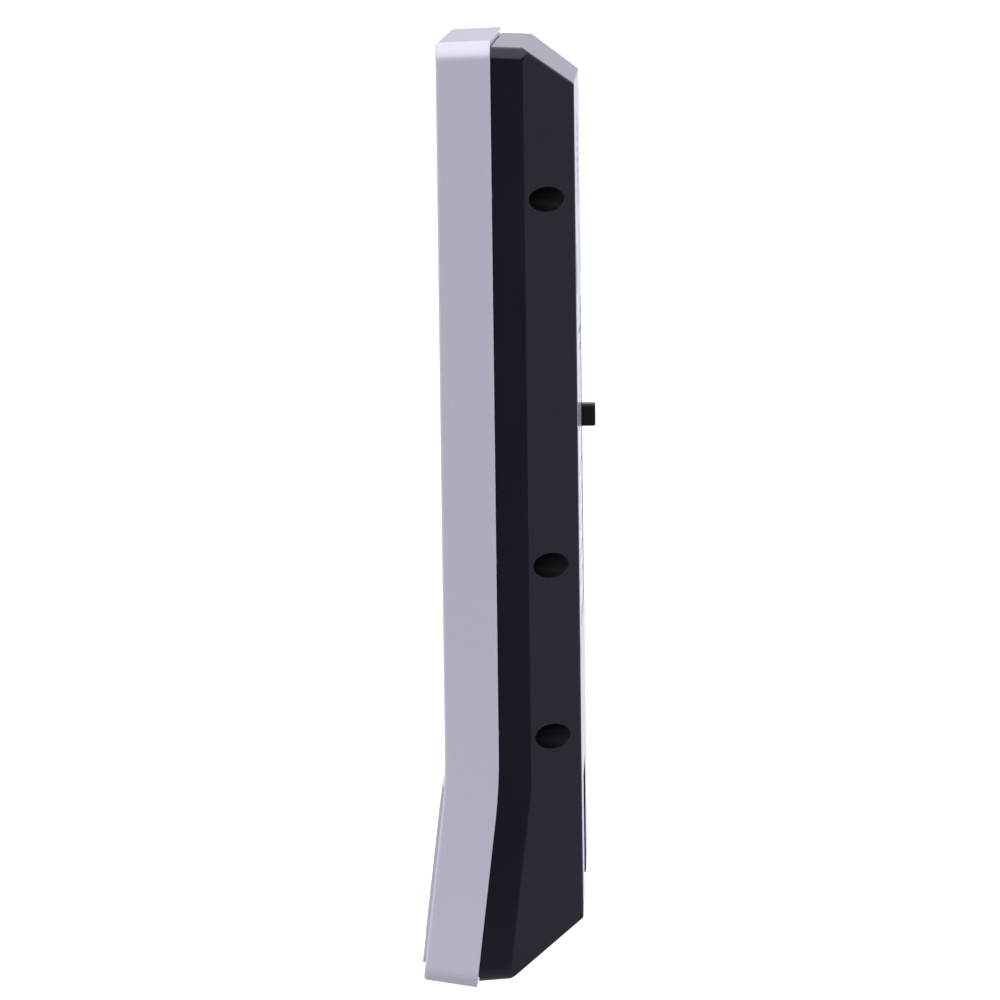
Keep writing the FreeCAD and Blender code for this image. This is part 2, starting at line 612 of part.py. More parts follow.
def side_wedges(inset, lean):
    """The stock outside the inclined sides, above and below the bend."""
    reach = 3 * DEPTH
    foot = V(HOUSING_HALF - inset * math.sin(lean), Y_BAND - inset * math.cos(lean), 0)
    pivot = V(0, Y_BAND, Z_BEND - (COVER_DEPTH + BAND_DEPTH) * math.tan(ANGLE / 2))
    tools = []
    for swing in (0.0, BEND_ANGLE):
        wall = Part.makeBox(reach, 2 * reach, 3 * HEIGHT, V(0, -reach, -2 * HEIGHT))
        wall.rotate(V(0, 0, 0), V(0, 0, 1), 90 - math.degrees(lean))
        wall.translate(foot)
        wall.rotate(pivot, V(1, 0, 0), -swing)
        tools += [wall, wall.mirror(V(0, 0, 0), V(1, 0, 0))]
    return Part.makeCompound(tools)


def sharp_edges(shape, least_turn):
    """Edges where the two faces meet at more than least_turn degrees."""
    chosen = []
    for edge in shape.Edges:
        faces = shape.ancestorsOfType(edge, Part.Face)
        if len(faces) != 2:
            continue
        point = edge.valueAt((edge.FirstParameter + edge.LastParameter) / 2)
        normals = [face.normalAt(*face.Surface.parameter(point)) for face in faces]
        if math.degrees(normals[0].getAngle(normals[1])) > least_turn:
            chosen.append(edge)
    return chosen


def behind_joint(point):
    """True for a point that is clear of the housing's front rim."""
    if point.z > Z_BEND:
        return point.y > Y_HOUSING_FRONT + 0.1
    return point.y > lower_point(COVER_DEPTH + JOINT_GAP,
                                 (Z_BEND - point.z) / math.cos(ANGLE)).y + 0.4


def rounded_housing():
    body = housing_envelope(0.0)
    rims = [e for e in sharp_edges(body, 12.0) if behind_joint(e.CenterOfMass)]
    return body.makeFillet(HOUSING_EDGE_R, rims)


def keyhole(x, y0, y1):
    entry = rod(x, 0, KEYHOLE_ENTRY_R, y0, y1)
    slot_end = rod(x, KEYHOLE_RISE, KEYHOLE_SLOT_R, y0, y1)
    neck = box(x - KEYHOLE_SLOT_R, x + KEYHOLE_SLOT_R, y0, y1, 0, KEYHOLE_RISE)
    return entry.fuse([slot_end, neck])


def keyhole_pocket(x, grow):
    """Space behind a keyhole for the wall screw's head, or the walls round it."""
    half = KEYHOLE_ENTRY_R + 0.5 + grow
    depth = KEYHOLE_POCKET_DEPTH + grow
    return slab(half, -half, KEYHOLE_RISE + half, -HOUSING_WALL - depth,
                -HOUSING_WALL + (0.1 if grow else 0.0), 1.0 + grow, x)


def make_rear_housing():
    outer = rounded_housing()
    shell = outer.cut(housing_envelope(HOUSING_WALL))

    lip_depth = COVER_DEPTH - LIP_HEIGHT
    lip_in = COVER_WALL + LIP_CLEARANCE
    lip = cover_envelope(lip_depth, COVER_DEPTH + JOINT_GAP + 0.3, lip_in, 1.6)
    lip = lip.cut(cover_envelope(lip_depth - 1, COVER_DEPTH + 2, lip_in + LIP_WALL, 0.6))

    ribs = []
    bores = []
    for x in (-SCREW_X, SCREW_X):
        for drop in SCREW_DROPS:
            z = Z_TOP - drop
            lip = lip.cut(rod(x, z, BOSS_R + 0.25, Y_FRONT, Y_HOUSING_FRONT))
            ribs.append(rod(x, z, BOSS_R, Y_JOINT, Y_SCREW_SEAT))
            ribs.append(rod(x, z, ACCESS_BORE_R + 1.6, Y_HOUSING_FRONT, 0).common(outer))
            bores.append(rod(x, z, ACCESS_BORE_R, Y_SCREW_SEAT, 1))
            bores.append(rod(x, z, SCREW_HOLE_R, Y_FRONT, 1))
    for x, z in board_screw_places():
        ribs.append(rod(x, z, 2.8, Y_BOARD_BACK, -1))
        bores.append(rod(x, z, 1.25, Y_BOARD_BACK - 1, -HOUSING_WALL))
    for x, z in usb_screw_places():
        ribs.append(rod(x, z, 2.4, Y_USB_BOARD + USB_BOARD_THICKNESS, -1))
        bores.append(rod(x, z, 1.05, Y_USB_BOARD, -HOUSING_WALL))
    for x in (-KEYHOLE_SPACING / 2, KEYHOLE_SPACING / 2):
        ribs.append(keyhole_pocket(x, 1.2))
        bores.append(keyhole_pocket(x, 0.0))
        bores.append(keyhole(x, -HOUSING_WALL - 0.5, 1))
    for x in (-LOWER_HOLE_SPACING / 2, LOWER_HOLE_SPACING / 2):
        bores.append(rod(x, Z_LOWER_HOLES, LOWER_HOLE_R, -DEPTH, 1))

    half = RECESS_HALF_WIDTH
    ribs.append(box(-half - RECESS_WALL, half + RECESS_WALL, -RECESS_DEPTH - RECESS_WALL, 0,
                    Z_TOP - HEIGHT, Z_RECESS + RECESS_WALL).common(outer))
    bores.append(slab(half, Z_TOP - HEIGHT - 1, Z_RECESS, -RECESS_DEPTH, 1))
    bores += socket_openings()
    bores += speaker_grille()
    bores += [plunger_hole(), label_seat()]
    body = shell.fuse(ribs + [lip])
    return cut_all(body, bores).removeSplitter()


def board_screw_places():
    return [(x, Z_TOP - drop) for x in (-BOARD_SCREW_X, BOARD_SCREW_X)
            for drop in BOARD_SCREW_DROPS]


def usb_screw_places():
    z = Z_USB + USB_LENGTH + 8.0
    return [(USB_X - USB_SCREW_X, z), (USB_X + USB_SCREW_X, z)]


def socket_openings():
    """Windows in the recess's roof and in the underside, round the sockets."""
    gap = 0.2
    roof = (Z_RECESS - 1, Z_RECESS + RECESS_WALL + 1)
    network = box(JACK_X - JACK_HALF_WIDTH - gap, JACK_X + JACK_HALF_WIDTH + gap,
                  Y_BOARD_BACK - 0.3, Y_BOARD_BACK + JACK_THICKNESS + gap, *roof)
    power = box(POWER_X - POWER_HALF_WIDTH - gap, POWER_X + POWER_HALF_WIDTH + gap,
                Y_BOARD_BACK - 0.3, Y_BOARD_BACK + POWER_THICKNESS + gap, *roof)
    usb = box(USB_X - USB_HALF_WIDTH - gap, USB_X + USB_HALF_WIDTH + gap,
              Y_USB - USB_THICKNESS / 2 - gap, Y_USB + USB_THICKNESS / 2 + gap,
              Z_USB - 3, Z_USB + 6)
    usb_slot = box(USB_X - USB_HALF_WIDTH - 2, USB_X + USB_HALF_WIDTH + 2,
                   Y_FRONT - 5, Y_USB - USB_THICKNESS / 2, Z_USB + HOUSING_WALL, Z_USB + 9)
    return [network, power, usb, usb_slot.common(lip_zone())]


def lip_zone():
    return cover_envelope(COVER_DEPTH - LIP_HEIGHT - 1, COVER_DEPTH, 0.5, 0.0)


def speaker_grille():
    holes = []
    for ring in range(GRILLE_RINGS):
        count = max(1, 6 * ring)
        for step in range(count):
            turn = 2 * math.pi * step / count
            x = GRILLE_PITCH * ring * math.cos(turn)
            z = Z_SPEAKER + GRILLE_PITCH * ring * math.sin(turn)
            holes.append(rod(x, z, GRILLE_HOLE_R, -HOUSING_WALL - 0.5, 1))
    return holes


def plunger_hole():
    half = PLUNGER_SIZE / 2 + 0.2
    return slab(half, Z_PLUNGER - half, Z_PLUNGER + half, -HOUSING_WALL - 1, 1, 0.8, PLUNGER_X)


def label_seat():
    return slab(LABEL_HALF_WIDTH + 0.2, LABEL_LOW - 0.2, LABEL_HIGH + 0.2, -LABEL_THICKNESS,
                1, 2.2)


def make_rear_label():
    return slab(LABEL_HALF_WIDTH, LABEL_LOW, LABEL_HIGH, -LABEL_THICKNESS, -0.05, 2.0)


# -------------------------------------------------------------------- fasteners
def cross_head_screw(x, z, y_seat, heading, head_r, head_height, shank_r, length):
    """Pan-head screw along Y; heading is +1 when its tip points to the rear."""
    head = rod(x, z, head_r, 0, head_height)
    top = edges_where(head, lambda m, d: m.y < 0.01 and abs(d.y) < 0.1)
    head = head.makeFillet(head_height * 0.45, top)
    shank = rod(x, z, shank_r, head_height, head_height + length)
    tip = edges_where(shank, lambda m, d: m.y > head_height + length - 0.01)
    shank = shank.makeChamfer(shank_r * 0.4, tip)
    arm = head_r * 0.55
    slot = 0.14 * head_r
    depth = head_height * 0.6
    recess = box(x - arm, x + arm, -1, depth, z - slot, z + slot)
    recess = recess.fuse(box(x - slot, x + slot, -1, depth, z - arm, z + arm))
    screw = head.fuse(shank).cut(recess)
    if heading < 0:
        screw = screw.mirror(V(0, 0, 0), V(0, 1, 0))
    screw.translate(V(0, y_seat - heading * head_height, 0))
    return screw


def make_housing_screws():
    return Part.makeCompound([
        cross_head_screw(x, Z_TOP - drop, Y_SCREW_SEAT, -1, SCREW_HEAD_R, SCREW_HEAD_HEIGHT,
                         SCREW_SHANK_R, SCREW_LENGTH)
        for x in (-SCREW_X, SCREW_X) for drop in SCREW_DROPS])


def make_board_screws():
    return Part.makeCompound([
        cross_head_screw(x, z, Y_BOARD_FRONT, 1, 2.6, 1.6, 1.2, 7.0)
        for x, z in board_screw_places()])


def make_keypad_screws():
    seat = Y_KEY_BOARD + KEY_BOARD_THICKNESS
    return Part.makeCompound([cross_head_screw(x, z, seat, -1, 1.9, 1.1, 0.9, 4.0)
                              for x, z in keypad_screw_places()])


def make_usb_screws():
    return Part.makeCompound([cross_head_screw(x, z, Y_USB_BOARD, 1, 1.9, 1.1, 1.0, 5.0)
                              for x, z in usb_screw_places()])


# ------------------------------------------------------------------ electronics
def make_main_board():
    board = slab(MAIN_BOARD_HALF_WIDTH, Z_BOARD_BOTTOM, Z_BOARD_TOP, Y_BOARD_FRONT,
                 Y_BOARD_BACK, 2.0)
    holes = [rod(x, z, 1.5, -DEPTH, 0) for x, z in board_screw_places()]
    return cut_all(board, holes)


def make_board_chips():
    """Processor, memories and drivers on the front of the main board."""
    return Part.makeCompound([
        slab(half_x, z - half_z, z + half_z, Y_BOARD_FRONT - tall, Y_BOARD_FRONT, 0.4, x)
        for x, z, half_x, half_z, tall in CHIPS])


def make_board_capacitors():
    cans = []
    for x, z, radius, tall in CAPACITORS:
        can = rod(x, z, radius, Y_BOARD_BACK, Y_BOARD_BACK + tall)
        cans.append(can.makeFillet(0.5, edges_where(
            can, lambda m, d: m.y > Y_BOARD_BACK + tall - 0.01)))
    return Part.makeCompound(cans)


def make_door_relay():
    return slab(RELAY_HALF_WIDTH, RELAY_LOW, RELAY_HIGH, Y_BOARD_BACK,
                Y_BOARD_BACK + RELAY_HEIGHT, 0.6, RELAY_X)


def make_buzzer():
    y_top = Y_BOARD_BACK + BUZZER_HEIGHT
    can = rod(BUZZER_X, BUZZER_Z, BUZZER_R, Y_BOARD_BACK, y_top)
    can = can.makeFillet(0.6, edges_where(can, lambda m, d: m.y > y_top - 0.01))
    return can.cut(rod(BUZZER_X, BUZZER_Z, BUZZER_PORT_R, y_top - 2.5, 0))


def make_speaker():
    y_rim = -HOUSING_WALL - SPEAKER_SEAL
    y_basket = y_rim - SPEAKER_DEPTH
    basket = rod(0, Z_SPEAKER, SPEAKER_R, y_basket, y_rim)
    magnet = rod(0, Z_SPEAKER, MAGNET_R, y_basket - MAGNET_DEPTH, y_basket)
    hollow_depth = SPEAKER_DEPTH - 1.0
    cone_hollow = Part.makeCone(5.0, SPEAKER_R - 2.5, hollow_depth,
                                V(0, y_rim - hollow_depth, Z_SPEAKER), V(0, 1, 0))
    return basket.fuse(magnet).cut(cone_hollow)


def make_speaker_seal():
    ring = rod(0, Z_SPEAKER, SPEAKER_R, -HOUSING_WALL - SPEAKER_SEAL, -HOUSING_WALL)
    return ring.cut(rod(0, Z_SPEAKER, SPEAKER_R - 2.0, -DEPTH, 0))


def make_backup_battery():
    z = Z_TOP - BATTERY_DROP
    pack = slab(BATTERY_HALF_WIDTH, z - BATTERY_HALF_HEIGHT, z + BATTERY_HALF_HEIGHT,
                -HOUSING_WALL - BATTERY_THICKNESS, -HOUSING_WALL)
    return pack.makeFillet(1.4, pack.Edges)


def make_antenna_board():
    """Card reader aerial behind the keypad: a thin board with a raised spiral track."""
    board = slab(ANTENNA_HALF_WIDTH, ANTENNA_LOW, ANTENNA_HIGH, Y_ANTENNA,
                 Y_ANTENNA + ANTENNA_THICKNESS, 3.0)
    tracks = []
    for turn in range(TRACK_TURNS):
        inset = TRACK_MARGIN + TRACK_PITCH * turn
        outer = slab(ANTENNA_HALF_WIDTH - inset, ANTENNA_LOW + inset, ANTENNA_HIGH - inset,
                     Y_ANTENNA - TRACK_HEIGHT, Y_ANTENNA, 2.0)
        inset += TRACK_WIDTH
        inner = slab(ANTENNA_HALF_WIDTH - inset, ANTENNA_LOW + inset, ANTENNA_HIGH - inset,
                     Y_ANTENNA - 1, Y_ANTENNA + 1, 1.5)
        tracks.append(outer.cut(inner))
    return board.fuse(tracks)


def make_antenna_pads():
    """Foam pads that hold the aerial board off the main board."""
    half = 3.0
    return Part.makeCompound([
        slab(half, z - half, z + half, Y_ANTENNA + ANTENNA_THICKNESS, Y_BOARD_FRONT, 0.5, x)
        for x in (-28.0, 22.0) for z in (-88.0, -50.0)])


# ---------------------------------------------------------------------- sockets
def make_network_jack():
    z_mouth = Z_RECESS
    y0 = Y_BOARD_BACK
    body = box(JACK_X - JACK_HALF_WIDTH, JACK_X + JACK_HALF_WIDTH, y0, y0 + JACK_THICKNESS,
               z_mouth, z_mouth + JACK_LENGTH)
    socket = box(JACK_X - 5.9, JACK_X + 5.9, y0 + 1.5, y0 + 9.0, z_mouth - 1, z_mouth + 13.0)
    latch = box(JACK_X - 3.1, JACK_X + 3.1, y0 + 8.9, y0 + 10.6, z_mouth - 1, z_mouth + 9.0)
    return body.cut(socket.fuse(latch))


def make_network_contacts():
    """Eight sprung wires along the socket's board side."""
    y0 = Y_BOARD_BACK + 1.5
    wires = []
    for place in range(8):
        x = JACK_X + CONTACT_PITCH * (place - 3.5) - CONTACT_HALF_WIDTH
        corners = [V(x, y0, Z_RECESS + 1.0), V(x, y0, Z_RECESS + 12.0),
                   V(x, y0 + 2.4, Z_RECESS + 12.0), V(x, y0 + 0.45, Z_RECESS + 1.0)]
        face = Part.Face(Part.makePolygon(corners + corners[:1]))
        wires.append(face.extrude(V(2 * CONTACT_HALF_WIDTH, 0, 0)))
    return Part.makeCompound(wires)


def make_power_jack():
    y_axis = Y_BOARD_BACK + POWER_THICKNESS / 2
    body = box(POWER_X - POWER_HALF_WIDTH, POWER_X + POWER_HALF_WIDTH, Y_BOARD_BACK,
               Y_BOARD_BACK + POWER_THICKNESS, Z_RECESS, Z_RECESS + POWER_LENGTH)
    body = body.cut(post(POWER_X, y_axis, POWER_SOCKET_R, Z_RECESS - 1, Z_RECESS + 10.0))
    return body


def make_power_pin():
    y_axis = Y_BOARD_BACK + POWER_THICKNESS / 2
    pin = post(POWER_X, y_axis, 1.0, Z_RECESS + 1.2, Z_RECESS + 10.0)
    return pin.makeFillet(0.5, edges_where(pin, lambda m, d: m.z < Z_RECESS + 1.3))


def make_usb_port():
    half_x = USB_HALF_WIDTH
    half_y = USB_THICKNESS / 2
    z_top = Z_USB + USB_LENGTH
    shell = box(USB_X - half_x, USB_X + half_x, Y_USB - half_y, Y_USB + half_y, Z_USB, z_top)
    half_x -= USB_WALL
    half_y -= USB_WALL
    return shell.cut(box(USB_X - half_x, USB_X + half_x, Y_USB - half_y, Y_USB + half_y,
                         Z_USB - 1, z_top - 2.0))


def make_usb_tongue():
    return box(USB_X - 5.6, USB_X + 5.6, Y_USB + 0.4, Y_USB + 2.2, Z_USB + 0.8,
               Z_USB + USB_LENGTH - 2.0)


def make_usb_board():
    board = slab(USB_BOARD_HALF_WIDTH, Z_USB + 3.8, Z_USB + USB_LENGTH + 11.0, Y_USB_BOARD,
                 Y_USB_BOARD + USB_BOARD_THICKNESS, 1.0, USB_X)
    return cut_all(board, [rod(x, z, 1.2, -DEPTH, 0) for x, z in usb_screw_places()])


# -------------------------------------------------------------- tamper detector
def make_tamper_plunger():
    half = PLUNGER_SIZE / 2
    y_flange = -HOUSING_WALL - 0.3
    block = slab(half, Z_PLUNGER - half, Z_PLUNGER + half, y_flange, PLUNGER_PROUD, 0.6,
                 PLUNGER_X)
    block = block.makeFillet(0.35, edges_where(
        block, lambda m, d: m.y > PLUNGER_PROUD - 0.01))
    flange = slab(half + 1.3, Z_PLUNGER - half - 1.3, Z_PLUNGER + half + 1.3,
                  y_flange - 1.2, y_flange, 1.0, PLUNGER_X)
    y_switch = Y_BOARD_BACK + SWITCH_HEIGHT
    stem = rod(PLUNGER_X, Z_PLUNGER, 1.4, y_switch + PLUNGER_TRAVEL + 0.5, y_flange - 1.2)
    return block.fuse([flange, stem]).removeSplitter()


def make_tamper_spring():
    y_rear = -HOUSING_WALL - 0.3 - 1.2 - SPRING_WIRE_R
    y_front = Y_BOARD_BACK + SPRING_WIRE_R
    length = y_rear - y_front
    turns = 6.0
    helix = Part.makeHelix(length / turns, length, SPRING_R)
    start = V(SPRING_R, 0, 0)
    section = Part.Wire(Part.makeCircle(SPRING_WIRE_R, start, V(0, 1, 0)))
    coil = Part.Wire(helix).makePipeShell([section], True, True)
    coil.rotate(V(0, 0, 0), V(1, 0, 0), -90)
    coil.translate(V(PLUNGER_X, y_front, Z_PLUNGER))
    return coil


def make_tamper_switch():
    half = 1.4
    return slab(half, Z_PLUNGER - half, Z_PLUNGER + half, Y_BOARD_BACK,
                Y_BOARD_BACK + SWITCH_HEIGHT, 0.2, PLUNGER_X)


# -------------------------------------------------------------- ribbons and plugs
def band(points, half_width, x):
    """A flat flexible cable through (y, z) points, with mitred folds."""
    sides = []
    for offset in (0.0, RIBBON_THICKNESS):
        line = []
        for i, (y, z) in enumerate(points):
            ahead = points[min(i + 1, len(points) - 1)]
            behind = points[max(i - 1, 0)]
            before = math.atan2(z - behind[1], y - behind[0])
            after = math.atan2(ahead[1] - z, ahead[0] - y)
            if i == 0:
                before = after
            if i == len(points) - 1:
                after = before
            bisector = (before + after) / 2
            reach = offset / math.cos((after - before) / 2)
            line.append(V(x - half_width, y - reach * math.sin(bisector),
                          z + reach * math.cos(bisector)))
        sides.append(line)
    outline = sides[0] + sides[1][::-1]
    face = Part.Face(Part.makePolygon(outline + outline[:1]))
    return face.extrude(V(2 * half_width, 0, 0))


def make_display_ribbon():
    return band([(Y_MODULE_BACK, -8.0), (Y_MODULE_BACK + 2.0, -12.0), (Y_CONNECTOR - 2.0, -20.0),
                 (Y_CONNECTOR, -24.0)], 9.0, -10.0)


def make_keypad_ribbon():
    y_board = Y_KEY_BOARD + KEY_BOARD_THICKNESS
    return band([(y_board, -31.0), (y_board + 1.2, -34.0), (Y_CONNECTOR - 1.0, -36.0),
                 (Y_CONNECTOR, -39.0)], 6.0, -36.0)


def make_board_connectors():
    """Low sockets on the main board that the ribbons plug into."""
    return Part.makeCompound([
        slab(half, z - 3.5, z - 0.4, Y_CONNECTOR - 0.6, Y_BOARD_FRONT, 0.3, x)
        for x, z, half in CONNECTORS])


def make_sensor_ribbon():
    back = Y_SENSOR + SENSOR_DEPTH + 1.0
    top = sensor_z(0) + WINDOW_HALF_HEIGHT - 3.0
    board = tilt(Part.Vertex(V(0, back, top))).Point
    start = board + V(0, 2 * RIBBON_THICKNESS, 0)
    return band([(start.y, start.z), (start.y + 1.2, start.z + 2.5), (Y_CONNECTOR - 0.6, -108.5),
                 (Y_CONNECTOR, -106.6)], 4.5, 6.0)


def make_ribbon_cables():
    """Flat cables to the display, the keypad board and the sensor board."""
    return Part.makeCompound([make_display_ribbon(), make_keypad_ribbon(),
                              make_sensor_ribbon()])


# ------------------------------------------------------------------ write parts
def build_parts():
    parts = {
        "front_cover": make_front_cover(),
        "front_panel": make_front_panel(),
        "display_window": make_display_window(),
        "display_gasket": make_display_gasket(),
        "display_screen": make_display_screen(),
        "display_module": make_display_module(),
        "keypad_board": make_keypad_board(),
        "keypad_domes": make_keypad_domes(),
        "keypad_screws": make_keypad_screws(),
        "light_guide": make_light_guide(),
        "status_board": make_status_board(),
        "sensor_bezel": make_sensor_bezel(),
        "fingerprint_window": make_fingerprint_window(),
        "sensor_housing": make_sensor_housing(),
        "sensor_prism": make_sensor_prism(),
        "sensor_board": make_sensor_board(),
        "rear_housing": make_rear_housing(),
        "housing_screws": make_housing_screws(),
        "rear_label": make_rear_label(),
        "main_board": make_main_board(),
        "board_screws": make_board_screws(),
        "board_chips": make_board_chips(),
        "board_capacitors": make_board_capacitors(),
        "board_connectors": make_board_connectors(),
        "ribbon_cables": make_ribbon_cables(),
        "door_relay": make_door_relay(),
        "buzzer": make_buzzer(),
        "speaker": make_speaker(),
        "speaker_seal": make_speaker_seal(),
        "backup_battery": make_backup_battery(),
        "antenna_board": make_antenna_board(),
        "antenna_pads": make_antenna_pads(),
        "network_jack": make_network_jack(),
        "network_contacts": make_network_contacts(),
        "power_jack": make_power_jack(),
        "power_pin": make_power_pin(),
        "usb_port": make_usb_port(),
        "usb_tongue": make_usb_tongue(),
        "usb_board": make_usb_board(),
        "usb_screws": make_usb_screws(),
        "tamper_plunger": make_tamper_plunger(),
        "tamper_spring": make_tamper_spring(),
        "tamper_switch": make_tamper_switch(),
    }
    for name in KEY_CENTRES:
        parts[name] = make_key(name)
    return parts


def main():
    os.makedirs("parts", exist_ok=True)
    for name, shape in build_parts().items():
        shape.exportStep(os.path.join("parts", name + ".step"))
        print(f"{name:20s} valid {shape.isValid()}  solids {len(shape.Solids)}"
              f"  volume {shape.Volume:.1f}")


main()
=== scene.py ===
import math

import bmesh
import bpy
from mathutils import Matrix, Vector


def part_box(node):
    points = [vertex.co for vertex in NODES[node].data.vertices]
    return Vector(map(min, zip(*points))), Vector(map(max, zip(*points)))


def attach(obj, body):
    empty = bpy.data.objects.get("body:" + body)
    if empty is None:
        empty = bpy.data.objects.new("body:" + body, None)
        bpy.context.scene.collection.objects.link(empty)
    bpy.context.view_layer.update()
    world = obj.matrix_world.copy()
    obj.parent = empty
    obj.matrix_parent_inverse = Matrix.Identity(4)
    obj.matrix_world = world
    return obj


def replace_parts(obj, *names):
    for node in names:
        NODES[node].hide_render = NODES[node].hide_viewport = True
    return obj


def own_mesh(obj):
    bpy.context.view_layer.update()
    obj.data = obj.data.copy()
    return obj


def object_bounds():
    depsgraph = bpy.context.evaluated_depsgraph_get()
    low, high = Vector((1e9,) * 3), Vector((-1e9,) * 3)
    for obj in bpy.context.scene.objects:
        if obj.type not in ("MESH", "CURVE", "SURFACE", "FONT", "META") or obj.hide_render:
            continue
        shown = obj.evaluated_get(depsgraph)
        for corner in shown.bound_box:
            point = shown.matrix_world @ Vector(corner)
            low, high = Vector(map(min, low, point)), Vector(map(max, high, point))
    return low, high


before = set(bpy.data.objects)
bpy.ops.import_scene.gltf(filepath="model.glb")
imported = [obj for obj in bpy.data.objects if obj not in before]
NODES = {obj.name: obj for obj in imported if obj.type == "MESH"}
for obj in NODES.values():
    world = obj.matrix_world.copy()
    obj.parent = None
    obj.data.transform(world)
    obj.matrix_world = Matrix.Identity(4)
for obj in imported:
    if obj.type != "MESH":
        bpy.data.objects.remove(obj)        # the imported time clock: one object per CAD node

# Looks of a wall-mounted electronic time clock.  Metres; +Z up, -Y is the front,
# +Y the wall side; the origin is midway between the wall keyholes.

MM = 0.001
CAD_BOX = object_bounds()


# ------------------------------------------------------------------ helpers
def add_object(name, data):
    item = bpy.data.objects.new(name, data)
    bpy.context.scene.collection.objects.link(item)
    return item


def link(tree, out, into):
    tree.links.new(out, into)


def split_place(tree, output):
    """The X, Y and Z outputs of a texture coordinate."""
    place = tree.nodes.new("ShaderNodeTexCoord")
    split = tree.nodes.new("ShaderNodeSeparateXYZ")
    link(tree, place.outputs[output], split.inputs["Vector"])
    return [split.outputs[axis] for axis in "XYZ"]


def smooth_range(tree, source, start, end, low, high):
    """From low to high as the source goes from start to end, with eased ends."""
    span = tree.nodes.new("ShaderNodeMapRange")
    span.interpolation_type = "SMOOTHSTEP"
    span.inputs["From Min"].default_value = start
    span.inputs["From Max"].default_value = end
    span.inputs["To Min"].default_value = low
    span.inputs["To Max"].default_value = high
    link(tree, source, span.inputs["Value"])
    return span.outputs["Result"]


def math_node(tree, operation, *values):
    """One operation on numbers or node outputs."""
    node = tree.nodes.new("ShaderNodeMath")
    node.operation = operation
    for socket, value in zip(node.inputs, values):
        if isinstance(value, (int, float)):
            socket.default_value = value
        else:
            link(tree, value, socket)
    return node.outputs["Value"]


# ------------------------------------------------------------------ camera
CAMERA_DISTANCE = 1348 * MM       # from the middle of the case, out along +X
CAMERA_BEHIND_BACK = 14.8 * MM    # behind the plane of the back face
CAMERA_ABOVE_TOP = 37.4 * MM
AIM_DEPTH = -17.7 * MM            # the middle of the case, front to back
AIM_DROP = 101.5 * MM             # below the top
CAMERA_ROLL = math.radians(-0.726)
CAMERA_LENS = 223.9
SENSOR_WIDTH = 36.0
CAMERA_CLIP = (0.05, 100.0)


def add_camera():
    """A long lens at the case's right side, slightly behind it and above its top."""
    back_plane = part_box("rear_housing")[1].y
    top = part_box("front_cover")[1].z
    place = Vector((CAMERA_DISTANCE, back_plane + CAMERA_BEHIND_BACK, top + CAMERA_ABOVE_TOP))
    aim = Vector((0, AIM_DEPTH, top - AIM_DROP))
    data = bpy.data.cameras.new("camera")
    data.lens = CAMERA_LENS
    data.sensor_width = SENSOR_WIDTH
    data.clip_start, data.clip_end = CAMERA_CLIP
    camera = add_object("camera", data)
    look = (aim - place).to_track_quat("-Z", "Y")
    roll = Matrix.Rotation(CAMERA_ROLL, 4, "Z")
    camera.matrix_world = Matrix.Translation(place) @ look.to_matrix().to_4x4() @ roll
    bpy.context.scene.camera = camera


# ------------------------------------------------------------------ stage
FLOOR_DROP = 25 * MM              # the case hangs just above the floor
FLOOR_HALF = 30.0
FLOOR_PAINT = 0.9
FLOOR_GLOW = 0.35                 # keeps the seen floor pale
FLOOR_FAR = 0.85                  # how pale the floor is beyond the case, as the case sees it
FLOOR_BESIDE = 0.42               # and beside it
FLOOR_NEAR = 0.15                 # a dark cloth lies between the case and the camera
FLOOR_FADE = (-0.4, 0.2)          # from far to beside, along X
CLOTH_FADE = (-0.05, 0.33)        # from beside to near, along X less the distance aside


def add_stage():
    z = CAD_BOX[0].z - FLOOR_DROP
    mesh = bpy.data.meshes.new("floor")
    corners = [(-FLOOR_HALF, -FLOOR_HALF, z), (FLOOR_HALF, -FLOOR_HALF, z),
               (FLOOR_HALF, FLOOR_HALF, z), (-FLOOR_HALF, FLOOR_HALF, z)]
    mesh.from_pydata(corners, [], [(0, 1, 2, 3)])
    mesh.materials.append(floor_material())
    floor = add_object("floor", mesh)


def floor_material():
    """Pale floor.  What the case sees of it is darker towards the near side."""
    pale = bpy.data.materials.new("floor_pale")
    pale.use_nodes = True
    tree = pale.node_tree
    shader = tree.nodes["Principled BSDF"]
    shader.inputs["Base Color"].default_value = (FLOOR_PAINT, FLOOR_PAINT, FLOOR_PAINT, 1)
    shader.inputs["Roughness"].default_value = 0.9
    shader.inputs["Specular IOR Level"].default_value = 0.0
    shader.inputs["Emission Color"].default_value = (1, 1, 1, 1)
    shader.inputs["Emission Strength"].default_value = FLOOR_GLOW
    x, y, _ = split_place(tree, "Object")
    across = smooth_range(tree, x, *FLOOR_FADE, FLOOR_FAR, FLOOR_BESIDE)
    towards = math_node(tree, "SUBTRACT", x, math_node(tree, "ABSOLUTE", y))
    cloth = smooth_range(tree, towards, *CLOTH_FADE, 1.0, FLOOR_NEAR / FLOOR_BESIDE)
    seen = tree.nodes.new("ShaderNodeBsdfDiffuse")
    link(tree, math_node(tree, "MULTIPLY", across, cloth), seen.inputs["Color"])
    path = tree.nodes.new("ShaderNodeLightPath")
    mix = tree.nodes.new("ShaderNodeMixShader")
    link(tree, path.outputs["Is Camera Ray"], mix.inputs["Fac"])
    link(tree, seen.outputs["BSDF"], mix.inputs[1])
    link(tree, shader.outputs["BSDF"], mix.inputs[2])
    link(tree, mix.outputs["Shader"], tree.nodes["Material Output"].inputs["Surface"])
    return pale


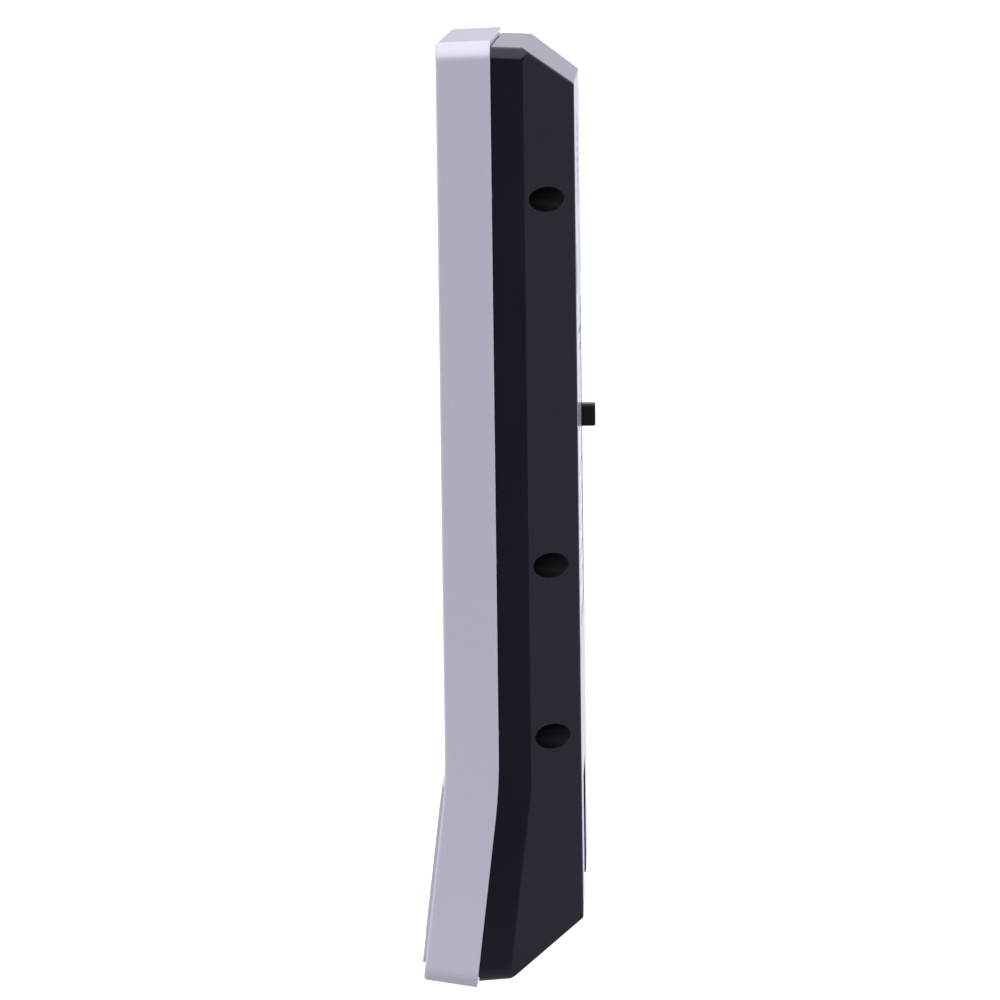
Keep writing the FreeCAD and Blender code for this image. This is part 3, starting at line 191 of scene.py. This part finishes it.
# Ranges are parts of a unit direction: X runs towards the camera, Z upwards.
NEAR_SIDE_LIGHT = 0.14            # the room behind the camera is dim
FAR_SIDE_LIGHT = 0.585            # the pale walls round the case
SIDE_FADE = (0.36, 0.84)
OVERHEAD_NEAR = 1.50              # a large soft light overhead, stronger on the near side
OVERHEAD_FAR = 0.95
OVERHEAD_FADE = (-0.6, 0.5)
UPWARD_FADE = (0.15, 0.5)         # from the walls to the light overhead
WALL_TINT = (1.0, 0.93, 1.12)
OVERHEAD_TINT = (0.96, 0.985, 1.13)
BACKGROUND_LIGHT = 1.0


def add_light():
    """A light tent: bright overhead and behind the case, dim on the near side."""
    world = bpy.data.worlds.new("studio")
    world.use_nodes = True
    tree = world.node_tree
    background = tree.nodes["Background"]
    x, _, z = split_place(tree, "Generated")
    around = smooth_range(tree, x, *SIDE_FADE, FAR_SIDE_LIGHT, NEAR_SIDE_LIGHT)
    overhead = smooth_range(tree, x, *OVERHEAD_FADE, OVERHEAD_FAR, OVERHEAD_NEAR)
    upward = smooth_range(tree, z, *UPWARD_FADE, 0.0, 1.0)
    blend = tree.nodes.new("ShaderNodeMix")
    link(tree, upward, blend.inputs["Factor"])
    link(tree, around, blend.inputs["A"])
    link(tree, overhead, blend.inputs["B"])
    tint = tree.nodes.new("ShaderNodeMix")
    tint.data_type = "RGBA"
    link(tree, upward, tint.inputs["Factor"])
    tint.inputs["A"].default_value = (*WALL_TINT, 1)
    tint.inputs["B"].default_value = (*OVERHEAD_TINT, 1)
    link(tree, tint.outputs["Result"], background.inputs["Color"])
    link(tree, blend.outputs["Result"], background.inputs["Strength"])
    plain = tree.nodes.new("ShaderNodeBackground")
    plain.inputs["Strength"].default_value = BACKGROUND_LIGHT
    plain.inputs["Color"].default_value = (1, 1, 1, 1)
    path = tree.nodes.new("ShaderNodeLightPath")
    choose = tree.nodes.new("ShaderNodeMixShader")
    link(tree, path.outputs["Is Camera Ray"], choose.inputs["Fac"])
    link(tree, background.outputs["Background"], choose.inputs[1])
    link(tree, plain.outputs["Background"], choose.inputs[2])
    link(tree, choose.outputs["Shader"], tree.nodes["World Output"].inputs["Surface"])
    bpy.context.scene.world = world
    bpy.context.scene.view_settings.view_transform = "Standard"


# ------------------------------------------------------------------ materials
# Texture scales count features in a metre.
def shade(name, colour, roughness, metallic=0.0, **sockets):
    """A Principled material; sockets are constants set on the shader itself."""
    material = bpy.data.materials.new(name)
    material.use_nodes = True
    shader = material.node_tree.nodes["Principled BSDF"]
    shader.inputs["Base Color"].default_value = (*colour, 1)
    shader.inputs["Roughness"].default_value = roughness
    shader.inputs["Metallic"].default_value = metallic
    for socket, value in sockets.items():
        shader.inputs[socket.replace("_", " ")].default_value = value
    return material


def texture(material, kind, scale, **settings):
    """A procedural texture in the object's own metres."""
    tree = material.node_tree
    place = tree.nodes.new("ShaderNodeTexCoord")
    node = tree.nodes.new(kind)
    link(tree, place.outputs["Object"], node.inputs["Vector"])
    node.inputs["Scale"].default_value = scale
    for socket, value in settings.items():
        node.inputs[socket.replace("_", " ")].default_value = value
    return node


def vary_colour(material, source, dark, light, start=0.3, end=0.7):
    """Base colour runs between two colours with a texture."""
    tree = material.node_tree
    ramp = tree.nodes.new("ShaderNodeValToRGB")
    ramp.color_ramp.elements[0].position = start
    ramp.color_ramp.elements[0].color = (*dark, 1)
    ramp.color_ramp.elements[1].position = end
    ramp.color_ramp.elements[1].color = (*light, 1)
    link(tree, source, ramp.inputs["Fac"])
    link(tree, ramp.outputs["Color"], tree.nodes["Principled BSDF"].inputs["Base Color"])


def vary_roughness(material, source, low, high):
    """Roughness runs between two values with a texture."""
    tree = material.node_tree
    span = tree.nodes.new("ShaderNodeMapRange")
    span.inputs["To Min"].default_value = low
    span.inputs["To Max"].default_value = high
    link(tree, source, span.inputs["Value"])
    link(tree, span.outputs["Result"], tree.nodes["Principled BSDF"].inputs["Roughness"])


def add_bump(material, source, height, strength):
    """Relief of a real height, in metres."""
    tree = material.node_tree
    bump = tree.nodes.new("ShaderNodeBump")
    bump.inputs["Distance"].default_value = height
    bump.inputs["Strength"].default_value = strength
    link(tree, source, bump.inputs["Height"])
    link(tree, bump.outputs["Normal"], tree.nodes["Principled BSDF"].inputs["Normal"])


def silver_paint():
    """Satin silver paint: fine metal flakes in a pale, faintly violet base."""
    paint = shade("silver_paint", (0.80, 0.755, 0.82), 0.34, 0.18, Coat_Weight=1.0,
                  Coat_Roughness=0.09)
    flakes = texture(paint, "ShaderNodeTexVoronoi", 4200.0)
    mottle = texture(paint, "ShaderNodeTexNoise", 60.0, Detail=3.0)
    vary_colour(paint, flakes.outputs["Color"], (0.785, 0.74, 0.80), (0.815, 0.765, 0.83))
    vary_roughness(paint, mottle.outputs["Fac"], 0.30, 0.38)
    add_bump(paint, flakes.outputs["Distance"], 0.008 * MM, 0.6)
    return paint


def textured_black():
    """Black moulding with a fine spark-eroded grain, shinier at a low angle."""
    plastic = shade("textured_black", (0.004, 0.004, 0.007), 0.4, Specular_IOR_Level=0.05,
                    Coat_Weight=0.9, Coat_Roughness=0.09)
    grain = texture(plastic, "ShaderNodeTexNoise", 2400.0, Detail=2.0)
    patches = texture(plastic, "ShaderNodeTexNoise", 45.0, Detail=4.0)
    vary_colour(plastic, patches.outputs["Fac"],
                (0.0052, 0.0050, 0.0115), (0.0072, 0.0070, 0.0145))
    vary_roughness(plastic, grain.outputs["Fac"], 0.26, 0.42)
    add_bump(plastic, grain.outputs["Fac"], 0.006 * MM, 0.4)
    return plastic


def plain_moulding(name, colour, roughness, grain_height=0.004, specular=0.4):
    """A moulded plastic with a faint grain, in millimetres, and slightly uneven colour."""
    plastic = shade(name, colour, roughness, Specular_IOR_Level=specular)
    grain = texture(plastic, "ShaderNodeTexNoise", 1800.0, Detail=2.0)
    patches = texture(plastic, "ShaderNodeTexNoise", 80.0, Detail=3.0)
    lighter = tuple(min(1.0, c * 1.15 + 0.002) for c in colour)
    vary_colour(plastic, patches.outputs["Fac"], colour, lighter)
    vary_roughness(plastic, grain.outputs["Fac"], roughness * 0.85, roughness * 1.15)
    add_bump(plastic, grain.outputs["Fac"], grain_height * MM, 0.5)
    return plastic


def metal(name, colour, roughness):
    """Plain metal with fine brushing and slight tarnish."""
    sheet = shade(name, colour, roughness, 1.0)
    brushing = texture(sheet, "ShaderNodeTexNoise", 900.0, Detail=3.0)
    tarnish = texture(sheet, "ShaderNodeTexNoise", 150.0, Detail=4.0)
    vary_colour(sheet, tarnish.outputs["Fac"], tuple(c * 0.82 for c in colour), colour)
    vary_roughness(sheet, brushing.outputs["Fac"], roughness * 0.8, roughness * 1.3)
    add_bump(sheet, brushing.outputs["Fac"], 0.002 * MM, 0.4)
    return sheet


def panel_gloss():
    """Polished black acrylic with faint finger smears."""
    gloss = shade("panel_gloss", (0.006, 0.006, 0.007), 0.07, Specular_IOR_Level=0.35,
                  Coat_Weight=0.15, Coat_Roughness=0.03)
    smears = texture(gloss, "ShaderNodeTexNoise", 38.0, Detail=6.0, Distortion=1.2)
    vary_roughness(gloss, smears.outputs["Fac"], 0.03, 0.20)
    vary_colour(gloss, smears.outputs["Fac"], (0.004, 0.004, 0.005), (0.010, 0.010, 0.012))
    return gloss


def clear_pane(name, colour, alpha, roughness):
    """A tinted pane that what lies behind it shows through."""
    pane = shade(name, colour, roughness, Alpha=alpha, Coat_Weight=0.3, Coat_Roughness=0.02)
    smears = texture(pane, "ShaderNodeTexNoise", 50.0, Detail=5.0, Distortion=1.0)
    vary_roughness(pane, smears.outputs["Fac"], roughness * 0.6, roughness * 2.4)
    return pane


SCREEN_MARGIN = 1.5 * MM          # the display's border
SCREEN_EDGE = 0.990               # where its active area starts to fade, 1 being the border


def display_glass():
    """Dark glass over a display that is off; the active area is a shade paler than the border."""
    glass = shade("window_tinted", (0.005, 0.005, 0.006), 0.06, Specular_IOR_Level=0.4,
                  Coat_Weight=0.25, Coat_Roughness=0.02)
    tree = glass.node_tree
    low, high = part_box("display_screen")
    x, _, z = split_place(tree, "Object")
    middle = (low.z + high.z) / 2
    height = math_node(tree, "ABSOLUTE", math_node(tree, "SUBTRACT", z, middle))
    across = math_node(tree, "ABSOLUTE", x)
    outward = math_node(tree, "MAXIMUM",
                        math_node(tree, "DIVIDE", across, high.x - SCREEN_MARGIN),
                        math_node(tree, "DIVIDE", height, high.z - middle - SCREEN_MARGIN))
    active = smooth_range(tree, outward, SCREEN_EDGE, 1.0, 1.0, 0.0)
    vary_colour(glass, active, (0.0045, 0.0045, 0.0055), (0.014, 0.019, 0.020), 0.0, 1.0)
    smears = texture(glass, "ShaderNodeTexNoise", 50.0, Detail=5.0, Distortion=1.0)
    vary_roughness(glass, smears.outputs["Fac"], 0.03, 0.12)
    return glass


def screen_dark():
    """The liquid-crystal panel behind the glass, off, with a faint clouding."""
    panel = shade("screen_dark", (0.03, 0.04, 0.045), 0.18)
    clouding = texture(panel, "ShaderNodeTexNoise", 25.0, Detail=2.0)
    vary_colour(panel, clouding.outputs["Fac"], (0.030, 0.041, 0.042), (0.035, 0.047, 0.048))
    vary_roughness(panel, clouding.outputs["Fac"], 0.14, 0.22)
    return panel


def label_film():
    """Pale satin film with a slight waviness."""
    film = shade("label_film", (0.62, 0.62, 0.64), 0.32, Coat_Weight=0.8, Coat_Roughness=0.06)
    wrinkles = texture(film, "ShaderNodeTexNoise", 90.0, Detail=3.0)
    vary_colour(film, wrinkles.outputs["Fac"], (0.60, 0.60, 0.62), (0.64, 0.64, 0.66))
    vary_roughness(film, wrinkles.outputs["Fac"], 0.26, 0.40)
    add_bump(film, wrinkles.outputs["Fac"], 0.02 * MM, 0.3)
    return film


def dress(material, *names):
    """Give CAD nodes a material."""
    for name in names:
        mesh = NODES[name].data
        mesh.materials.clear()
        mesh.materials.append(material)


KEYS = sorted(name for name in NODES if name.startswith("key_"))


def dress_all():
    dress(silver_paint(), "front_cover")
    dress(textured_black(), "rear_housing")
    dress(panel_gloss(), "front_panel")
    dress(plain_moulding("bezel_black", (0.012, 0.012, 0.014), 0.35), "sensor_bezel")
    dress(plain_moulding("key_plastic", (0.040, 0.041, 0.047), 0.38, 0.006), *KEYS)
    dress(plain_moulding("plunger_black", (0.004, 0.004, 0.007), 0.3), "tamper_plunger",
          "tamper_switch")
    dress(plain_moulding("socket_black", (0.012, 0.012, 0.013), 0.4), "network_jack", "power_jack",
          "sensor_housing", "buzzer", "board_chips")
    dress(label_film(), "rear_label")
    dress(plain_moulding("board_green", (0.01, 0.12, 0.05), 0.3), "keypad_board", "status_board",
          "sensor_board", "main_board", "antenna_board", "usb_board")
    dress(plain_moulding("connector_white", (0.65, 0.62, 0.55), 0.4), "board_connectors",
          "usb_tongue", "ribbon_cables")
    dress(plain_moulding("foam_black", (0.02, 0.02, 0.02), 0.9, 0.02), "display_gasket",
          "speaker_seal", "antenna_pads")
    dress(plain_moulding("relay_blue", (0.02, 0.08, 0.30), 0.3), "door_relay", "backup_battery")
    dress(metal("pressed_steel", (0.62, 0.62, 0.64), 0.3), "display_module", "keypad_domes",
          "speaker", "usb_port", "board_capacitors")
    dress(metal("zinc_steel", (0.45, 0.45, 0.47), 0.35), "housing_screws", "board_screws",
          "keypad_screws", "usb_screws", "tamper_spring")
    dress(metal("gold_plate", (0.83, 0.62, 0.28), 0.25), "network_contacts", "power_pin")
    dress(display_glass(), "display_window")
    dress(clear_pane("sensor_glass", (0.05, 0.09, 0.11), 0.7, 0.06), "fingerprint_window",
          "sensor_prism")
    dress(clear_pane("guide_clear", (0.55, 0.62, 0.60), 0.8, 0.15), "light_guide")
    dress(screen_dark(), "display_screen")


# ------------------------------------------------------------------ printed legends
INK_HEIGHT = 0.02 * MM
DIGIT_SIZE = 7.36 * MM            # of the type, which is taller than its digits
DIGIT_BOLDER = 0.05 * MM
MARK_LINE = 0.75                  # line width of the drawn marks, in millimetres
DIGIT_KEYS = {f"key_{digit}": str(digit) for digit in (0, 2, 3, 4, 5, 6, 7, 8, 9)}


def ink(name, colour):
    """Printing ink with a fine speckle."""
    print_ink = shade(name, colour, 0.5, Specular_IOR_Level=0.3)
    speckle = texture(print_ink, "ShaderNodeTexNoise", 3000.0, Detail=2.0)
    vary_colour(print_ink, speckle.outputs["Fac"], tuple(c * 0.86 for c in colour), colour)
    vary_roughness(print_ink, speckle.outputs["Fac"], 0.42, 0.58)
    add_bump(print_ink, speckle.outputs["Fac"], 0.003 * MM, 0.5)
    return print_ink


def face_place(node):
    """Middle of a node's front face."""
    low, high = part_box(node)
    return Vector(((low.x + high.x) / 2, low.y, (low.z + high.z) / 2))


def digit_outline(text):
    """A digit as a flat shape in the XZ plane, centred on the origin."""
    curve = bpy.data.curves.new("digit", "FONT")
    curve.body = text
    curve.size = DIGIT_SIZE
    curve.offset = DIGIT_BOLDER
    holder = bpy.data.objects.new("digit", curve)
    mesh = bpy.data.meshes.new_from_object(holder)
    bpy.data.objects.remove(holder)
    bpy.data.curves.remove(curve)
    shape = bmesh.new()
    shape.from_mesh(mesh)
    bpy.data.meshes.remove(mesh)
    bmesh.ops.rotate(shape, verts=shape.verts, matrix=Matrix.Rotation(math.pi / 2, 3, "X"))
    return centred(shape)


def centred(shape):
    """The shape, moved so that its middle is at the origin."""
    xs = [v.co.x for v in shape.verts]
    zs = [v.co.z for v in shape.verts]
    middle = Vector(((min(xs) + max(xs)) / 2, 0, (min(zs) + max(zs)) / 2))
    bmesh.ops.translate(shape, verts=shape.verts, vec=-middle)
    return shape


def polygon(shape, points):
    """A flat face through (x, z) points in millimetres."""
    shape.faces.new([shape.verts.new((x * MM, 0, z * MM)) for x, z in points])


def stroke(shape, points, width):
    """A line of even width through (x, z) points in millimetres, mitred at its bends."""
    line = [Vector(point) for point in points]
    ahead = [(b - a).normalized() for a, b in zip(line, line[1:])]
    rails = ([], [])
    for i, point in enumerate(line):
        before = ahead[max(i - 1, 0)]
        after = ahead[min(i, len(ahead) - 1)]
        bisector = (Vector((-before.y, before.x)) + Vector((-after.y, after.x))).normalized()
        reach = width / 2 / bisector.dot(Vector((-after.y, after.x)))
        for rail, side in zip(rails, (1, -1)):
            x, z = point + bisector * reach * side
            rail.append(shape.verts.new((x * MM, 0, z * MM)))
    for i in range(len(line) - 1):
        shape.faces.new([rails[0][i], rails[1][i], rails[1][i + 1], rails[0][i + 1]])


def ring(shape, radius, width, start, end, steps=36):
    """An arc of even width about the origin, between two angles in degrees."""
    for step in range(steps):
        a = math.radians(start + (end - start) * step / steps)
        b = math.radians(start + (end - start) * (step + 1) / steps)
        inner = radius - width / 2
        outer = radius + width / 2
        polygon(shape, [(inner * math.cos(a), inner * math.sin(a)),
                        (outer * math.cos(a), outer * math.sin(a)),
                        (outer * math.cos(b), outer * math.sin(b)),
                        (inner * math.cos(b), inner * math.sin(b))])


def symbol(name):
    """Drawn marks: back arrow, up, down, list, on/off, tick and the digit one."""
    shape = bmesh.new()
    if name == "key_escape":
        stroke(shape, [(2.6, -2.2), (2.6, 0.8), (-0.8, 0.8)], MARK_LINE)
        polygon(shape, [(-0.8, 2.6), (-3.0, 0.8), (-0.8, -1.0)])
    elif name == "key_1":
        stroke(shape, [(-1.1, 1.5), (0.45, 2.4), (0.45, -2.5)], MARK_LINE)
    elif name == "key_up":
        polygon(shape, [(-3.0, -1.8), (3.0, -1.8), (0.0, 2.6)])
    elif name == "key_down":
        polygon(shape, [(-3.0, 1.8), (0.0, -2.6), (3.0, 1.8)])
    elif name == "key_menu":
        for z in (-1.9, 0.0, 1.9):
            stroke(shape, [(-2.6, z), (2.6, z)], MARK_LINE)
    elif name == "key_power":
        ring(shape, 2.5, MARK_LINE, -235, 55)
        stroke(shape, [(0.0, 0.4), (0.0, 2.9)], MARK_LINE)
    elif name == "key_ok":
        stroke(shape, [(-2.6, 0.0), (-0.6, -1.9), (2.8, 2.2)], MARK_LINE * 1.15)
    return shape


def finish_mesh(shape, name, material):
    """A mesh from a shape that is done, with its material."""
    mesh = bpy.data.meshes.new(name)
    shape.to_mesh(mesh)
    shape.free()
    mesh.materials.append(material)
    return mesh


def finish_print(shape, name, material, place, body, outward=-1):
    """Give the flat print its thickness, lay it on a face and let it ride on a body."""
    result = bmesh.ops.extrude_face_region(shape, geom=shape.faces[:])
    raised = [item for item in result["geom"] if isinstance(item, bmesh.types.BMVert)]
    bmesh.ops.translate(shape, verts=raised, vec=(0, outward * INK_HEIGHT, 0))
    bmesh.ops.recalc_face_normals(shape, faces=shape.faces)
    piece = add_object(name, finish_mesh(shape, name, material))
    piece.location = place
    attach(piece, body)


def add_legends():
    """A digit or mark on every key."""
    pale = ink("legend_ink", (0.62, 0.62, 0.64))
    green = ink("legend_green", (0.05, 0.42, 0.16))
    red = ink("legend_red", (0.50, 0.05, 0.04))
    colours = {"key_ok": green, "key_escape": red}
    for name in KEYS:
        shape = digit_outline(DIGIT_KEYS[name]) if name in DIGIT_KEYS else symbol(name)
        finish_print(shape, "legend_" + name, colours.get(name, pale), face_place(name), name)


def rounded_frame(half_x, half_z, radius, width, steps=8):
    """A thin printed rounded rectangle about the origin, in millimetres."""
    shape = bmesh.new()
    rails = []
    for inset in (0.0, width):
        rail = []
        for turn, (sx, sz) in enumerate(((1, 1), (-1, 1), (-1, -1), (1, -1))):
            for step in range(steps + 1):
                angle = math.radians(90 * (turn + step / steps))
                reach = radius - inset
                rail.append(shape.verts.new((
                    (sx * (half_x - radius) + reach * math.cos(angle)) * MM, 0,
                    (sz * (half_z - radius) + reach * math.sin(angle)) * MM)))
        rails.append(rail)
    count = len(rails[0])
    for i in range(count):
        j = (i + 1) % count
        shape.faces.new([rails[0][i], rails[0][j], rails[1][j], rails[1][i]])
    return shape


def half_sizes(node):
    """Half a node's width and height in millimetres."""
    low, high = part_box(node)
    return (high.x - low.x) / 2 / MM, (high.z - low.z) / 2 / MM


FRAME_AIR = 1.6                   # from the display's window to the line, all in millimetres
FRAME_CORNER = 3.0
FRAME_LINE = 0.3


def add_panel_print():
    """A fine line printed round the display."""
    grey = ink("panel_line", (0.16, 0.16, 0.17))
    middle = face_place("display_window")
    middle.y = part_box("front_panel")[0].y
    half_x, half_z = half_sizes("display_window")
    shape = rounded_frame(half_x + FRAME_AIR, half_z + FRAME_AIR, FRAME_CORNER, FRAME_LINE)
    finish_print(shape, "line_display", grey, middle, "case")


LABEL_MARGIN = 2.0                # from the label's edge to its border, all in millimetres
LABEL_CORNER = 1.6
LABEL_BORDER = 0.25
LABEL_INSET = 3.0                 # from the border to what it holds
RULE_COUNT = 5
RULE_PITCH = 6.0
RULE_LINE = 0.2
BOX_FOOT = 8.0                    # the empty box's lower edge, above the middle
HEADINGS = ((4.0, 3.0, 0.9), (8.0, 6.0, 0.5))    # below the border, short of the middle, width


def add_label_print():
    """Blank form on the label: a border, an empty box, two bars and a few rules."""
    black = ink("label_ink", (0.03, 0.03, 0.035))
    middle = face_place("rear_label")
    middle.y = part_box("rear_label")[1].y
    half_x, half_z = (half - LABEL_MARGIN for half in half_sizes("rear_label"))
    shape = rounded_frame(half_x, half_z, LABEL_CORNER, LABEL_BORDER)
    left, right, top = LABEL_INSET - half_x, half_x - LABEL_INSET, half_z - LABEL_INSET
    for row in range(RULE_COUNT):
        z = -half_z + RULE_PITCH * (row + 1)
        stroke(shape, [(left, z), (right, z)], RULE_LINE)
    stroke(shape, [(right, top), (LABEL_INSET, top), (LABEL_INSET, BOX_FOOT), (right, BOX_FOOT)],
           RULE_LINE)
    for drop, stop, width in HEADINGS:
        stroke(shape, [(left, half_z - drop), (-stop, half_z - drop)], width)
    finish_print(shape, "label_print", black, middle, "case", outward=1)


# ------------------------------------------------------------------ moulded bores with a painted-shade lining, and spring
# Millimetres, on the right side; the left mirrors it.
BORE_DROPS = (33.3, 110.2, 146.4)   # case screws, below the top of the cover
BORE_X = 50.4
BORE_R = 2.59
BORE_SEAT = -14.3                   # y of the step that the screw's head sits on
SIDE_FOOT = (53.7, -10.6)           # the inclined side's front edge, (x, y)
SIDE_HEAD = (46.2, 0.0)             # and its rear edge
SIDE_SLOPE = (SIDE_HEAD[1] - SIDE_FOOT[1]) / (SIDE_HEAD[0] - SIDE_FOOT[0])
LINER_WALL = 0.02
LINER_SHORT = 0.06                  # kept below the inclined side
LINER_STEPS = 64
LINER_CREASE = math.radians(40)


def liner_shape(side, height):
    """A thin tube from a screw's seat out to the inclined side."""
    shape = bmesh.new()
    rims = []
    for radius in (BORE_R - LINER_WALL, BORE_R):
        for at_mouth in (False, True):
            rim = []
            for step in range(LINER_STEPS):
                angle = 2 * math.pi * step / LINER_STEPS
                x = BORE_X + radius * math.cos(angle)
                y = BORE_SEAT
                if at_mouth:
                    y = SIDE_FOOT[1] + SIDE_SLOPE * (x - SIDE_FOOT[0]) - LINER_SHORT
                z = height + radius * math.sin(angle)
                rim.append(shape.verts.new((side * x * MM, y * MM, z * MM)))
            rims.append(rim)
    for a, b in ((0, 1), (1, 3), (3, 2), (2, 0)):
        for i in range(LINER_STEPS):
            j = (i + 1) % LINER_STEPS
            shape.faces.new([rims[a][i], rims[a][j], rims[b][j], rims[b][i]])
    bmesh.ops.recalc_face_normals(shape, faces=shape.faces)
    return shape


def add_bore_liners():
    """Smooth walls inside the six screw bores, darker and duller than the housing: painted shade
    in the bores.
    """
    # painted shade: a near-black, barely reflective lining, so the bores look darker than the
    # housing's own glossy plastic
    plastic = plain_moulding("bore_shade_black", (0.004, 0.004, 0.006), 0.55, 0.003, 0.12)
    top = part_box("front_cover")[1].z / MM
    for side in (-1, 1):
        for row, drop in enumerate(BORE_DROPS):
            name = f"bore_shade_liner_{'left' if side < 0 else 'right'}_{row}"
            mesh = finish_mesh(liner_shape(side, top - drop), name, plastic)
            mesh.shade_smooth()
            mesh.set_sharp_from_angle(angle=LINER_CREASE)
            liner = add_object(name, mesh)
            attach(liner, "case")


def add_spring():
    """The tamper spring, which in the real clock shortens as the plunger goes in; here a copy of
    it rides on the case in place of the CAD node.
    """
    rigid = NODES["tamper_spring"]
    coil = add_object("spring_coil", rigid.data.copy())
    coil.matrix_world = rigid.matrix_world
    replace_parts(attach(coil, "case"), "tamper_spring")
    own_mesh(coil)


add_camera()
add_stage()
add_light()
dress_all()
add_legends()
add_panel_print()
add_label_print()
add_bore_liners()
add_spring()
